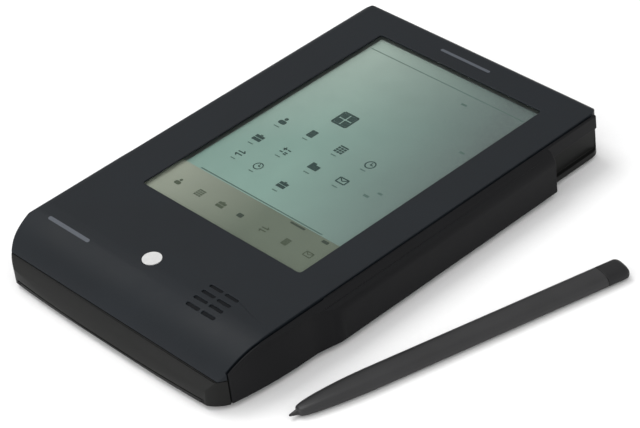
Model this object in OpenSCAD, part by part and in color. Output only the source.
// Pen-operated handheld organiser, with its stylus lying beside it.
// Millimetres. The origin is the centre of the case's flat underside. +X points to the
// stylus rail, +Y to the end with the card slot, and +Z out of the screen.

/* [Case] */
// Width of the case, without the stylus rail
case_w = 114.3; // [112:0.1:116]
// Length of the case
case_l = 184.75; // [182:0.05:188]
// Height of the case, without its feet
case_h = 19.05; // [19:0.05:21]
// Wall thickness of the two shells
wall = 1.8; // [1.6:0.1:2.0]
// Height of the seam between the two shells
seam_z = 10.1; // [9.8:0.1:10.4]
// Radius of the long curve that drops to the near end
roll_r = 30; // [28:1:32]
// Where that curve starts, along Y
roll_start = -67; // [-67.5:0.5:-66]
// Height of the rubber feet below the underside
foot_h = 1.7; // [1.2:0.1:2.2]

/* [Screen] */
// Width of the screen window
window_w = 80.6; // [78:0.2:81]
// Length of the screen window
window_l = 117.6; // [114:0.2:118]
// Sideways place of the window's centre
window_x = 1.9; // [1:0.1:2.5]
// Lengthways place of the window's centre
window_y = 19.3; // [18.5:0.1:20]
// Length of the printed strip at the near end of the window
strip_l = 19.6; // [16:0.2:22]

/* [Stylus] */
// Length of the stylus with its nib
pen_l = 128; // [124:0.5:129]
// Width of the stylus
pen_w = 9.4; // [8.6:0.1:9.6]
// Thickness of the stylus
pen_t = 4.6; // [4:0.1:4.7]
// Angle of the resting stylus, from +Y towards +X
pen_turn = 15; // [10:1:18]

/* [Stylus rail] */
// Outer face of the rail, along X
rail_x = 61.7; // [61.5:0.1:62.5]
// Near end of the rail's bulge, along Y
rail_near = -45; // [-48:1:-42]
// Far end of the rail's bulge, along Y
rail_far = 64; // [60:1:66]

/* [Card slot] */
// Width of the card that the slot takes
card_w = 54; // [54:0.1:54.2]
// Thickness of that card
card_t = 5; // [5:0.1:5.2]
// Sideways place of the slot's centre
card_x = -4; // [-5:0.5:-3]
// Travel of the eject button
eject_travel = 5; // [4:0.1:5]

/* [Controls] */
// Travel of the power switch
power_travel = 2.2; // [1.5:0.1:2.5]
// Travel of the card lock
lock_travel = 4; // [3:0.1:4]
// Radius of the contrast wheel
wheel_r = 7; // [6.6:0.1:7.2]
// Travel of the reset button
reset_travel = 0.6; // [0.4:0.1:0.8]

/* [Hidden] */
$fn = 64;
gap = 0.2;                       // running gap between parts that slide past each other
seam_gap = 0.2;                  // groove left at the shell seam
side_x = case_w / 2;
end_y = case_l / 2;
groove_x = 57.0;                 // right edge of the top shell
strip_x = 58.3;                  // outer face of the side moulding beyond the rail
near_corner = 13;                // plan radius of the near corners
far_corner = 5;
near_bow = 900;                  // radius of the bowed near end
far_bow = 1500;
hip_r = 150;                     // radius of the flare at the hips
hip_x = 59.5;
hip_y = -54;
roll_turn = 45;                  // angle that the long curve turns before it tightens
edge_left = 5;                   // radius of the top edge on the left side
edge_far = 3;                    // radius of the top edge at the far end
edge_right = 1.2;                // radius of the top edge beside the moulding
edge_bottom = 1.2;
moulding_near = -85;             // near and far ends of the side moulding
moulding_far = 89;
moulding_t = 1.4;                // its thickness where it follows the hip
moulding_z0 = 0.2;
moulding_z1 = 18.6;
channel_x0 = 55.4;               // inner wall of the stylus channel
channel_x1 = rail_x - 0.9;
channel_z0 = 2.4;
channel_z1 = 12.6;
channel_near = -43;
ceiling_z = case_h - 0.7;        // underside of the window's rim
screen_z0 = ceiling_z - 1.0;     // underside of the touch panel
cell_r = 5.25;
cell_l = 44.5;
cell_z = 7.3;
cell_rows = [-74.6, -63.1];
cell_columns = [-24.7, 24.7];
door_w = 95;
door_near = -95;
door_far = -56.2;
door_t = 1.5;
board_z = 11.4;
board_t = 1.2;
cage_w = card_w + 2;
cage_z0 = 4.2;
cage_z1 = cage_z0 + card_t + 1.6;
cage_t = 0.4;
cage_near = 7;
cage_far = 90.2;
slot_w = card_w + 1;
coin_x = -22;
coin_y = -32;
coin_r = 10;
speaker_x = 30.5;
speaker_y = -68;
badge_x = -2.6;
badge_y = -65.8;
badge_r = 3.5;
wheel_x = -side_x + wheel_r - 0.9;
wheel_y = 28;
wheel_z = 12.9;
power_y = 2;
power_z = 13.2;
serial_y = 60;
serial_z = 7.4;
jack_y = 79;
jack_z = 6.2;
eject_x = 31.5;
eject_z = 7.4;
lock_x = -42;
lock_z = 13.2;
ir_x = 46;
ir_z = 13.4;
reset_x = -40;
reset_y = 8;
lever_x = 10;                    // pivot of the eject lever
lever_y = 0.3;
lever_z = 2.5;
lever_right = 17;                // arm on the button's side
lever_left = 14;                 // arm on the card's side
lever_end_r = 1.5;
foot_places = [[-46, -50.5], [46, -50.5], [-46, 84], [46, 84]];
screw_places = [[-50, -40], [50, -40], [-50, 45], [50, 30], [-37, 82], [50, 74]];
board_screws = [[-41, -44], [41, -44], [-38, 50], [38, 50]];

// ---------- shared shapes ----------

module box(x0, x1, y0, y1, z0, z1) {
  translate([x0, y0, z0]) cube([x1 - x0, y1 - y0, z1 - z0]);
}

// Cylinder along X, Y or Z between two places on its axis
module rod_x(x0, x1, y, z, r) { translate([x0, y, z]) rotate([0, 90, 0]) cylinder(r = r, h = x1 - x0); }
module rod_y(y0, y1, x, z, r) { translate([x, y1, z]) rotate([90, 0, 0]) cylinder(r = r, h = y1 - y0); }
module rod_z(z0, z1, x, y, r) { translate([x, y, z0]) cylinder(r = r, h = z1 - z0); }

// Rectangle from (x0, y0) to (x1, y1), with one radius on its low corners and one on its high corners
module rounded_rect(x0, x1, y0, y1, r_low, r_high) {
  mid = (y0 + y1) / 2;
  translate([x0 + r_low, y0]) square([x1 - x0 - 2 * r_low, mid - y0]);
  translate([x0 + r_high, mid]) square([x1 - x0 - 2 * r_high, y1 - mid]);
  translate([x0, y0 + r_low]) square([x1 - x0, y1 - y0 - r_low - r_high]);
  for (x = [x0 + r_low, x1 - r_low]) translate([x, y0 + r_low]) circle(r_low);
  for (x = [x0 + r_high, x1 - r_high]) translate([x, y1 - r_high]) circle(r_high);
}

module rounded_box(x0, x1, y0, y1, z0, z1, r) {
  translate([0, 0, z0]) linear_extrude(z1 - z0) rounded_rect(x0, x1, y0, y1, r, r);
}

// ---------- the case's outer form ----------

// Outline of the case seen from above, moved in by t. From the hips the sides curve in to
// the near corners.
module case_plan(t) {
  corner_x = hip_x - hip_r + sqrt(pow(hip_r - near_corner, 2) - pow(end_y - near_corner + hip_y, 2));
  meet_y = hip_y - (hip_r - t) * (end_y - near_corner + hip_y) / (hip_r - near_corner);
  intersection() {
    union() {
      rounded_rect(-side_x + t, side_x - t, hip_y - 10, end_y - t, 5, far_corner - t);
      intersection() {
        translate([hip_x - hip_r, hip_y]) circle(hip_r - t, $fn = 256);
        translate([hip_r - hip_x, hip_y]) circle(hip_r - t, $fn = 256);
        translate([-80, meet_y]) square([160, -20 - meet_y]);
      }
      // a hair more than the offset radius, so that these circles cross the hip arcs cleanly
      for (s = [-1, 1]) translate([s * corner_x, near_corner - end_y])
        circle(near_corner + 0.01 - 0.98 * t);
      translate([-corner_x, t - end_y]) square([2 * corner_x, near_corner + 10]);
    }
    translate([0, near_bow - end_y]) circle(near_bow - t, $fn = 256);
    translate([0, end_y - far_bow]) circle(far_bow - t, $fn = 256);
  }
}

// Outline seen from the side: flat on top, then the long curve down to the near end, which
// tightens below the seam and ends upright
module case_side(t) {
  nose_r = (end_y + roll_start - roll_r * sin(roll_turn)) / (1 - sin(roll_turn));
  roll_z = case_h - roll_r;
  nose_y = nose_r - end_y;
  nose_z = roll_z + (roll_r - nose_r) * cos(roll_turn);
  turn_z = roll_z + (roll_r - t) * cos(roll_turn);
  intersection() {
    rounded_rect(-end_y + t, end_y - t, t, case_h - t, edge_bottom - t / 2, edge_far - t / 2);
    union() {
      translate([roll_start, 0]) square([end_y - roll_start, case_h]);
      translate([roll_start, roll_z]) circle(roll_r - t);
    }
    union() {
      translate([nose_y, 0]) square([end_y - nose_y, case_h]);
      translate([-end_y, turn_z]) square([30, case_h]);
      translate([nose_y, nose_z]) circle(nose_r - t);
      translate([-end_y, -1]) square([30, nose_z + 1]);
    }
  }
}

// Outline seen from the near end, with the softer edge on the left
module case_front(t) {
  low = edge_bottom - t / 2;
  rounded_rect(-hip_x + t, 20, t, case_h - t, low, edge_left - t / 2);
  rounded_rect(-20, hip_x - t, t, case_h - t, low, edge_right - t / 2);
}

module case_form(t, z0, z1) {
  intersection() {
    translate([0, 0, z0]) linear_extrude(z1 - z0) case_plan(t);
    rotate([90, 0, 90]) translate([0, 0, -70]) linear_extrude(140) case_side(t);
    rotate([90, 0, 0]) translate([0, 0, -100]) linear_extrude(200) case_front(t);
  }
}

// Everything that opens through the side and end walls
module wall_openings() {
  box(card_x - slot_w / 2, card_x + slot_w / 2, cage_far, 95, cage_z0 + 0.2, cage_z1 - 0.2);
  box(eject_x - 3, eject_x + 3, cage_far - 1, 95, eject_z - 2.5, eject_z + 2.5);
  box(lock_x - 3.7, lock_x + 3.7 + lock_travel, 89, 95, lock_z - 1.5, lock_z + 1.5);
  box(ir_x - 5.6, ir_x + 5.6, 89, 95, ir_z - 2.1, ir_z + 2.1);
  rod_x(-60, -50, serial_y, serial_z, 5);
  rod_x(-60, -50, jack_y, jack_z, 3.9);
  box(-60, -54, power_y - 5.3, power_y + 5.3 + power_travel, power_z - 1.7, power_z + 1.7);
  box(-60, -54, wheel_y - 5.6, wheel_y + 5.6, wheel_z - 1.9, wheel_z + 1.9);
}

// Space in the right-hand wall that the stylus channel takes
module channel_recess() {
  box(channel_x0, 70, channel_near - 0.4, 100, channel_z0 - 0.2, channel_z1 + 0.2);
  box(channel_x0, 70, channel_near - 0.4, rail_far, -5, channel_z0);
}

// The strip on the right that belongs to the moulding, moved outwards by g. It is straight
// along the case and follows the hip to the moulding's near end, which moves by end_gap.
module moulding_zone(g, end_gap) {
  translate([0, 0, -10]) linear_extrude(50) intersection() {
    translate([40, moulding_near - end_gap]) square([40, 200]);
    union() {
      translate([groove_x + g, -100]) square([40, 200]);
      difference() {
        translate([40, -100]) square([40, 100 + hip_y]);
        translate([hip_x - hip_r, hip_y]) circle(hip_r - moulding_t + g, $fn = 256);
      }
    }
  }
}

// Solid corner behind the moulding's near end
module corner_block(z0, z1) {
  intersection() {
    case_form(0, z0, z1);
    box(51.5, 60, -88.5, -70, z0, z1);
  }
}

// ---------- shells ----------

module grille_slots() {
  for (row = [0:3], column = [0, 1]) {
    y = speaker_y + 5.25 - 3.5 * row;
    x = speaker_x - 6.9 + 7.6 * column;
    rounded_box(x, x + 6.2, y - 0.65, y + 0.65, 12, 20, 0.6);
  }
}

module top_case() color([0.17, 0.18, 0.20]) difference() {
  union() {
    difference() {
      case_form(0, seam_z + seam_gap / 2, 30);
      case_form(wall, -1, 30);
    }
    // inner part of the right-hand wall, beside the stylus channel
    box(53.6, channel_x0, channel_near - 2, 90.8, seam_z + seam_gap / 2, 17.4);
    // screw bosses
    for (p = screw_places) rod_z(seam_z + seam_gap / 2, 17.5, p[0], p[1], 2.8);
    corner_block(seam_z + seam_gap / 2, 30);
  }
  moulding_zone(0, 0.3);
  channel_recess();
  // window, and the pocket behind its rim
  rounded_box(window_x - window_w / 2, window_x + window_w / 2,
              window_y - window_l / 2, window_y + window_l / 2, 0, 30, 1.2);
  rounded_box(window_x - window_w / 2 - 2.2, window_x + window_w / 2 + 2.2,
              window_y - window_l / 2 - 2.2, window_y + window_l / 2 + 2.2, 0, ceiling_z, 1);
  grille_slots();
  rod_z(case_h - 0.4, 30, badge_x, badge_y, badge_r + 0.1);
  wall_openings();
  for (p = screw_places) rod_z(0, 15.5, p[0], p[1], 1.05);
}

module screw_boss(p) { rod_z(0.5, seam_z - seam_gap / 2, p[0], p[1], 3.2); }

module bottom_case() color([0.24, 0.25, 0.24]) difference() {
  union() {
    difference() {
      case_form(0, -1, seam_z - seam_gap / 2);
      case_form(wall, wall, 30);
    }
    box(53.6, channel_x0, channel_near - 2, 90.8, 1, seam_z - seam_gap / 2);
    for (p = screw_places) screw_boss(p);
    for (p = board_screws) rod_z(1, board_z - 0.05, p[0], p[1], 2.2);
    // wall between the battery bay and the rest, with ribs on its far side
    box(-52, 52, -55.4, -54.2, 1, seam_z - seam_gap / 2);
    for (x = [-30:20:30]) box(x - 0.5, x + 0.5, -54.3, -52, 1, 8);
    corner_block(-1, seam_z - seam_gap / 2);
  }
  moulding_zone(0.3, 0.3);
  channel_recess();
  // battery opening, and the slots that guide its door
  box(-door_w / 2 - gap, door_w / 2 + gap, -100, door_far + gap, -5, wall + 0.1);
  box(-door_w / 2 - 1.4, door_w / 2 + 1.4, -100, door_far - 1.8, 0.7, wall + 0.1);
  // coin cell opening
  rod_z(-5, wall + 0.1, coin_x, coin_y, coin_r + 1.6);
  for (p = foot_places) rod_z(-5, 0.7, p[0], p[1], 3.65);
  for (p = screw_places) { rod_z(-5, 4.6, p[0], p[1], 2.5); rod_z(-5, 30, p[0], p[1], 1.4); }
  for (p = board_screws) rod_z(4, 30, p[0], p[1], 0.85);
  rod_z(-5, 5, reset_x, reset_y, 1.45);
  wall_openings();
}

// Side moulding: a cover strip along the case, swollen into a channel for the stylus
module rail_section() {
  intersection() {
    rounded_rect(40, rail_x, moulding_z0, moulding_z1, 1.2, 0.6);
    union() {
      square([rail_x, 12.4]);
      translate([rail_x - 6.2, 12.4]) circle(6.2);
      square([rail_x - 6.2, 30]);
    }
  }
}

// The strip follows the hip and then swells smoothly into the rail
module rail_plan() {
  swell = [for (i = [0:8]) let (u = i / 8)
    [hip_x + (rail_x - hip_x) * u * u * (3 - 2 * u), rail_near - 7 + 14 * u]];
  intersection() {
    polygon(concat([[40, moulding_near], [hip_x, moulding_near]], swell,
                   [[rail_x, rail_far], [strip_x, rail_far], [strip_x, moulding_far],
                    [40, moulding_far]]));
    union() {
      translate([40, hip_y]) square([40, 200]);
      translate([hip_x - hip_r, hip_y]) circle(hip_r, $fn = 256);
    }
  }
}

module stylus_rail() color([0.15, 0.16, 0.17]) difference() {
  intersection() {
    translate([0, 0, -5]) linear_extrude(40) rail_plan();
    rotate([90, 0, 0]) translate([0, 0, -100]) linear_extrude(200) rail_section();
    rotate([90, 0, 90]) linear_extrude(80) case_side(case_h - moulding_z1);
    union() {
      moulding_zone(0.5, 0);
      box(channel_x0 + 0.2, 80, channel_near - 0.2, 100, -5, 30);
    }
  }
  box(50, groove_x + 0.35, channel_near - 0.2, 100, channel_z1, 30);
  // the channel, open past the rail's far end
  box(50, channel_x1, channel_near, 100, channel_z0, channel_z1);
  box(50, 80, rail_far, 100, -5, channel_z1);
}

// ---------- screen ----------

module panel_box(grow, z0, z1) {
  box(window_x - window_w / 2 - grow, window_x + window_w / 2 + grow,
      window_y - window_l / 2 - grow, window_y + window_l / 2 + grow, z0, z1);
}

module touch_panel() color([0.62, 0.68, 0.62]) panel_box(2.0, screen_z0, ceiling_z - 0.05);

module icon_strip() color([0.62, 0.62, 0.48]) {
  y0 = window_y - window_l / 2 - 1.6;
  box(window_x - window_w / 2 - 1.6, window_x + window_w / 2 + 1.6, y0, y0 + strip_l + 1.6,
      screen_z0 - 0.35, screen_z0 - 0.05);
}

module lcd_glass() color([0.52, 0.60, 0.54]) panel_box(-0.2, screen_z0 - 1.9, screen_z0 - 0.4);

module lcd_frame() color([0.55, 0.55, 0.56]) difference() {
  panel_box(2.0, screen_z0 - 2.4, screen_z0 - 0.4);
  panel_box(-0.1, 0, 30);
}

module lcd_backplate() color([0.75, 0.76, 0.78]) panel_box(2.0, screen_z0 - 2.9, screen_z0 - 2.45);

module lcd_ribbon() color([0.80, 0.55, 0.20]) {
  y = window_y - window_l / 2 - 2.4;
  box(4, 30, y - 1.0, y + 0.1, board_z + board_t + 0.4, screen_z0 - 1.2);
  box(4, 30, y - 6, y + 0.1, board_z + board_t + 0.05, board_z + board_t + 0.45);
}

// ---------- electronics ----------

module main_board() color([0.10, 0.35, 0.20]) difference() {
  box(-46, 46.6, -50, 86.4, board_z, board_z + board_t);
  for (p = board_screws) rod_z(0, 30, p[0], p[1], 1.2);
  rod_z(0, 30, -37, 82, 3.5);
  box(-50, -42.6, serial_y - 8, 90, 0, 30);
  box(-50, -42, wheel_y - 9, wheel_y + 9, 0, 30);
}

// [x, y, width, length] of each chip on the top side
TOP_CHIPS = [[-20, 10, 20, 20], [10, 6, 26, 26], [-18, 44, 12, 20], [2, 44, 12, 20],
             [22, 44, 12, 20], [-14, -30, 14, 14], [18, -31, 10, 16]];

module logic_chips() color([0.08, 0.08, 0.09])
  for (c = TOP_CHIPS)
    box(c[0] - c[2] / 2, c[0] + c[2] / 2, c[1] - c[3] / 2, c[1] + c[3] / 2,
        board_z + board_t + 0.02, board_z + board_t + 0.62);

module shield_can() color([0.78, 0.79, 0.80]) difference() {
  z0 = board_z + board_t + 0.02;
  box(-34, 36, -8, 60, z0, screen_z0 - 3.0);
  box(-33.8, 35.8, -7.8, 59.8, 0, z0 + 0.72);
}

module rom_board() color([0.10, 0.35, 0.20]) box(4, 37.5, -49, -14, 5, 6);

module rom_chips() color([0.08, 0.08, 0.09])
  for (x = [12, 31], y = [-40, -24]) box(x - 5.5, x + 5.5, y - 5, y + 5, 6.02, 8.5);

module board_connector() color([0.85, 0.84, 0.78]) box(20, 24, -48, -16, 6.02, board_z - 0.02);

module board_screws() color([0.70, 0.70, 0.72]) for (p = board_screws) {
  rod_z(5, board_z + board_t + 0.03, p[0], p[1], 0.8);
  rod_z(board_z + board_t + 0.02, board_z + board_t + 0.85, p[0], p[1], 1.9);
}

module speaker() color([0.12, 0.12, 0.13]) {
  rod_z(13.8, 15.5, speaker_x, speaker_y, 7.6);
  rod_z(13.3, 13.85, speaker_x, speaker_y, 4);
}

module speaker_ribbon() color([0.80, 0.55, 0.20]) {
  box(speaker_x - 2, speaker_x + 2, speaker_y + 7.7, -48.8, 14.0, 14.3);
  box(speaker_x - 2, speaker_x + 2, -49.1, -48.8, board_z + board_t + 0.02, 14.1);
}

module badge() color([0.80, 0.80, 0.79]) rod_z(case_h - 0.38, case_h + 0.12, badge_x, badge_y, badge_r);

// ---------- card slot ----------

module card_cage() color([0.80, 0.81, 0.82]) difference() {
  box(card_x - cage_w / 2, card_x + cage_w / 2, cage_near, cage_far, cage_z0, cage_z1);
  box(card_x - cage_w / 2 + cage_t, card_x + cage_w / 2 - cage_t, 0, 100,
      cage_z0 + cage_t, cage_z1 - cage_t);
  // lightening windows in the roof and floor, and the slot for the eject tab
  for (y = [22, 46]) box(card_x - 18, card_x + 18, y, y + 18, cage_z1 - 1, 30);
  box(card_x - cage_w / 2 - 1, card_x - cage_w / 2 + 4, 0, 13, 0, cage_z0 + 1);
}

module card_connector() color([0.09, 0.09, 0.10]) {
  box(card_x - 22, card_x + 24, 1, 6.8, cage_z0 + 0.4, board_z - 0.02);
  for (row = [0, 1], i = [0:33])
    rod_y(6.7, 10.5, card_x - 18.5 + 1.27 * i, cage_z0 + 2.6 + 1.27 * row, 0.22);
}

module eject_button() color([0.20, 0.21, 0.22]) {
  rounded_box(eject_x - 2.6, eject_x + 2.6, 84, 93, eject_z - 2.2, eject_z + 2.2, 0.5);
  box(eject_x - 2.6, eject_x - 0.6, 80, 84.1, eject_z - 2.2, eject_z + 0.6);
  box(25.6, eject_x - 0.6, 80, 83, eject_z - 2.2, eject_z - 0.8);
  box(25.6, 28.4, lever_y + lever_end_r + 0.3, 80.1, eject_z - 2.2, eject_z - 0.8);
  box(25.6, 28.4, lever_y + lever_end_r + 0.3, 5, lever_z, eject_z - 0.8);
}

module eject_lever() color([0.70, 0.71, 0.72]) difference() {
  union() {
    box(lever_x - lever_left, lever_x + lever_right, lever_y - 1.2, lever_y + 1.2,
        lever_z, lever_z + 1.2);
    for (x = [lever_x - lever_left, lever_x + lever_right])
      rod_z(lever_z, lever_z + 1.2, x, lever_y, lever_end_r);
    rod_z(lever_z, lever_z + 1.2, lever_x, lever_y, 3);
  }
  rod_z(0, 30, lever_x, lever_y, 1.05);
}

module lever_pin() color([0.75, 0.75, 0.77]) {
  rod_z(wall, 4.6, lever_x, lever_y, 1.0);
  rod_z(3.9, 4.5, lever_x, lever_y, 1.9);
}

module eject_plate() color([0.70, 0.71, 0.72]) {
  y0 = lever_y + lever_end_r + 0.3;
  box(-31, 2, y0, y0 + 6, lever_z, lever_z + 1);
  box(-31, -29.2, y0 + 5, y0 + 6, lever_z, 7.4);
}

module card_lock() color([0.20, 0.21, 0.22]) {
  rounded_box(lock_x - 3.5, lock_x + 3.5, 91, 93, lock_z - 1.3, lock_z + 1.3, 0.5);
  box(lock_x - 1.5, lock_x + 1.5, 89.4, 91.1, lock_z - 1.3, lock_z + 1.3);
  box(lock_x - 5, lock_x + 5, 88.2, 89.5, lock_z - 1.7, lock_z + 1.9);
}

module infrared_window() color([0.15, 0.03, 0.05])
  box(ir_x - 5.5, ir_x + 5.5, 90.0, 92.0, ir_z - 2.0, ir_z + 2.0);

module infrared_module() color([0.08, 0.08, 0.09]) {
  box(ir_x - 5, ir_x + 5, 86.6, 89.4, board_z - 1, ir_z + 2.2);
  for (x = [-2.4, 2.4]) rod_y(89.3, 89.9, ir_x + x, ir_z, 1.6);
}

// ---------- ports and controls on the left side ----------

module serial_port() color([0.09, 0.09, 0.10]) difference() {
  union() {
    rod_x(-56.8, -54, serial_y, serial_z, 4.8);
    box(-54.2, -43, serial_y - 6.5, serial_y + 6.5, 2.2, 13);
  }
  // annular socket around the plug's key
  difference() {
    rod_x(-60, -47, serial_y, serial_z, 4.2);
    rod_x(-60, -47, serial_y, serial_z, 2.9);
  }
}

module serial_pins() color([0.85, 0.70, 0.30])
  for (i = [0:7]) rod_x(-57.1, -56.8, serial_y + 1.9 * cos(45 * i), serial_z + 1.9 * sin(45 * i), 0.35);

module power_jack() color([0.09, 0.09, 0.10]) difference() {
  union() {
    rod_x(-56.8, -54, jack_y, jack_z, 3.7);
    box(-54.2, -43, jack_y - 4.4, jack_y + 4.4, 1.9, 10.6);
  }
  rod_x(-60, -46, jack_y, jack_z, 2.75);
}

module power_jack_pin() color([0.82, 0.83, 0.84]) {
  rod_x(-55.6, -46.02, jack_y, jack_z, 0.8);
  translate([-55.6, jack_y, jack_z]) sphere(0.8);
}

module power_knob() color([0.20, 0.21, 0.22]) {
  box(-58.0, -55, power_y - 5, power_y + 5, power_z - 1.4, power_z + 1.4);
  box(-55.1, -54.4, power_y - 7, power_y + 7, power_z - 2.8, power_z + 2.4);
  box(-54.5, -53.4, power_y - 1.5, power_y + 1.5, power_z - 1, power_z + 1);
}

module power_switch() color([0.62, 0.63, 0.64]) difference() {
  box(-54.2, -47, power_y - 7, power_y + 8, board_z - 1, 16);
  box(-60, -51, power_y - 2, power_y + 2 + power_travel, power_z - 1.4, power_z + 1.4);
}

// The wheel has a ring of notches for the finger
module contrast_wheel() color([0.20, 0.21, 0.22]) difference() {
  rod_z(wheel_z - 1.6, wheel_z + 1.6, wheel_x, wheel_y, wheel_r);
  for (i = [0:35])
    rod_z(0, 30, wheel_x + (wheel_r + 0.15) * cos(10 * i), wheel_y + (wheel_r + 0.15) * sin(10 * i), 0.35);
  rod_z(0, 30, wheel_x, wheel_y, 1.05);
}

module contrast_pot() color([0.30, 0.32, 0.55]) {
  box(wheel_x - 4, wheel_x + 6.5, wheel_y - 4, wheel_y + 4, 4, wheel_z - 1.8);
  rod_z(wheel_z - 1.9, wheel_z + 1.5, wheel_x, wheel_y, 1.0);
}

module reset_button() color([0.60, 0.12, 0.10]) {
  rod_z(0.3, 4.4, reset_x, reset_y, 1.3);
  rod_z(2.0, 2.8, reset_x, reset_y, 2.4);
}

module reset_switch() color([0.65, 0.66, 0.67]) difference() {
  box(reset_x - 2.4, reset_x + 2.4, reset_y - 2.4, reset_y + 2.4, 3.6, 7);
  rod_z(0, 5.2, reset_x, reset_y, 1.5);
}

// ---------- batteries ----------

module battery_door() color([0.22, 0.23, 0.23]) intersection() {
  case_form(0, -1, 30);
  union() {
    box(-door_w / 2, door_w / 2, door_near, door_far, -1, door_t);
    box(-door_w / 2 - 1.2, door_w / 2 + 1.2, door_near + 4, door_far - 2.2, 0.85, door_t);
  }
}

module battery_tray() color([0.14, 0.14, 0.15]) difference() {
  box(-49.4, 49.4, -80.5, -56.9, 2.6, 13.2);
  for (x = cell_columns, y = cell_rows) {
    rod_x(x - 24.2, x + 24.2, y, cell_z, cell_r + 0.25);
    box(x - 24.2, x + 24.2, y - cell_r - 0.25, y + cell_r + 0.25, 0, cell_z);
  }
}

module battery_cells() color([0.72, 0.72, 0.70])
  for (x = cell_columns, y = cell_rows) {
    s = y < -70 ? 1 : -1;
    rod_x(x - cell_l / 2 + 0.4, x + cell_l / 2 - 0.4, y, cell_z, cell_r);
    rod_x(s > 0 ? x + cell_l / 2 - 0.5 : x - cell_l / 2 - 0.4,
          s > 0 ? x + cell_l / 2 + 0.4 : x - cell_l / 2 + 0.5, y, cell_z, 1.9);
  }

// Each spring is a stack of rings that narrows towards its cell
module battery_springs() color([0.80, 0.81, 0.82])
  for (x = cell_columns, y = cell_rows) {
    s = y < -70 ? -1 : 1;
    for (i = [0:2]) translate([x + s * (23.9 - 0.5 * i), y, cell_z]) rotate([0, 90, 0])
      rotate_extrude() translate([3.2 - 0.5 * i, 0]) circle(0.27);
  }

module battery_plates() color([0.80, 0.81, 0.82])
  for (x = cell_columns, y = cell_rows) {
    s = y < -70 ? 1 : -1;
    rod_x(x + s * 23.4 - 0.35, x + s * 23.4 + 0.35, y, cell_z, 3.6);
  }

module coin_cell() color([0.80, 0.81, 0.82]) {
  rod_z(2.2, 4.6, coin_x, coin_y, coin_r);
  rod_z(4.55, 5.4, coin_x, coin_y, coin_r - 1.4);
}

module coin_cell_holder() color([0.09, 0.09, 0.10]) difference() {
  rod_z(wall + 0.15, 7.5, coin_x, coin_y, coin_r + 3);
  rod_z(0, 5.8, coin_x, coin_y, coin_r + 0.4);
  box(coin_x - 2, coin_x + 2, coin_y - 20, coin_y - 6, 0, 30);
}

// A quarter-turn cover with a slot for a coin
module coin_cell_cover() color([0.22, 0.23, 0.23]) difference() {
  rod_z(0, 1.5, coin_x, coin_y, coin_r + 1.4);
  box(coin_x - 6, coin_x + 6, coin_y - 0.9, coin_y + 0.9, -1, 0.8);
}

// ---------- feet and fasteners ----------

module feet() color([0.07, 0.07, 0.07]) for (p = foot_places) {
  rod_z(-foot_h, 0.65, p[0], p[1], 3.5);
}

module case_screws() color([0.25, 0.25, 0.26]) for (p = screw_places) difference() {
  union() {
    rod_z(3.0, 4.55, p[0], p[1], 2.2);
    rod_z(4.5, 15, p[0], p[1], 1.0);
  }
  for (a = [0, 90]) translate([p[0], p[1], 0]) rotate([0, 0, a]) box(-1.4, 1.4, -0.3, 0.3, 2, 3.8);
}

// ---------- stylus ----------

// Local frame: the tip is at the origin and the stylus runs along +Y
module on_table() { translate([74.0, -77.0, -foot_h]) rotate([0, 0, -pen_turn]) children(); }

// Half of the stylus's outline narrows from its full width down to the nib
module pen_plan() {
  half = pen_w / 2;
  side = [[1.2, 3], [2.7, 5.5], [3.5, 11], [4.2, 19], [half, 26], [half, pen_l - 1.6],
          [half - 1.6, pen_l]];
  polygon(concat(side, [for (i = [len(side) - 1:-1:0]) [-side[i][0], side[i][1]]]));
}

module pen_section() { rounded_rect(-pen_w / 2, pen_w / 2, 0, pen_t, 1.5, 1.9); }

module pen_body(y0, y1) on_table() intersection() {
  linear_extrude(pen_t) pen_plan();
  rotate([90, 0, 0]) translate([0, 0, -y1]) linear_extrude(y1 - y0) pen_section();
}

module stylus_barrel() color([0.20, 0.21, 0.22]) pen_body(3, pen_l - 9);

module stylus_cap() color([0.10, 0.10, 0.11]) pen_body(pen_l - 8.98, pen_l);

module stylus_nib() color([0.06, 0.06, 0.06]) on_table()
  translate([0, 3.0, pen_t / 2 - 0.6]) rotate([90, 0, 0]) cylinder(r1 = 1.3, r2 = 0.45, h = 3.0);

top_case();
bottom_case();
stylus_rail();
touch_panel();
icon_strip();
lcd_glass();
lcd_frame();
lcd_backplate();
lcd_ribbon();
main_board();
logic_chips();
shield_can();
rom_board();
rom_chips();
board_connector();
board_screws();
speaker();
speaker_ribbon();
badge();
card_cage();
card_connector();
eject_button();
eject_lever();
lever_pin();
eject_plate();
card_lock();
infrared_window();
infrared_module();
serial_port();
serial_pins();
power_jack();
power_jack_pin();
power_knob();
power_switch();
contrast_wheel();
contrast_pot();
reset_button();
reset_switch();
battery_door();
battery_tray();
battery_cells();
battery_springs();
battery_plates();
coin_cell();
coin_cell_holder();
coin_cell_cover();
feet();
case_screws();
stylus_barrel();
stylus_cap();
stylus_nib();
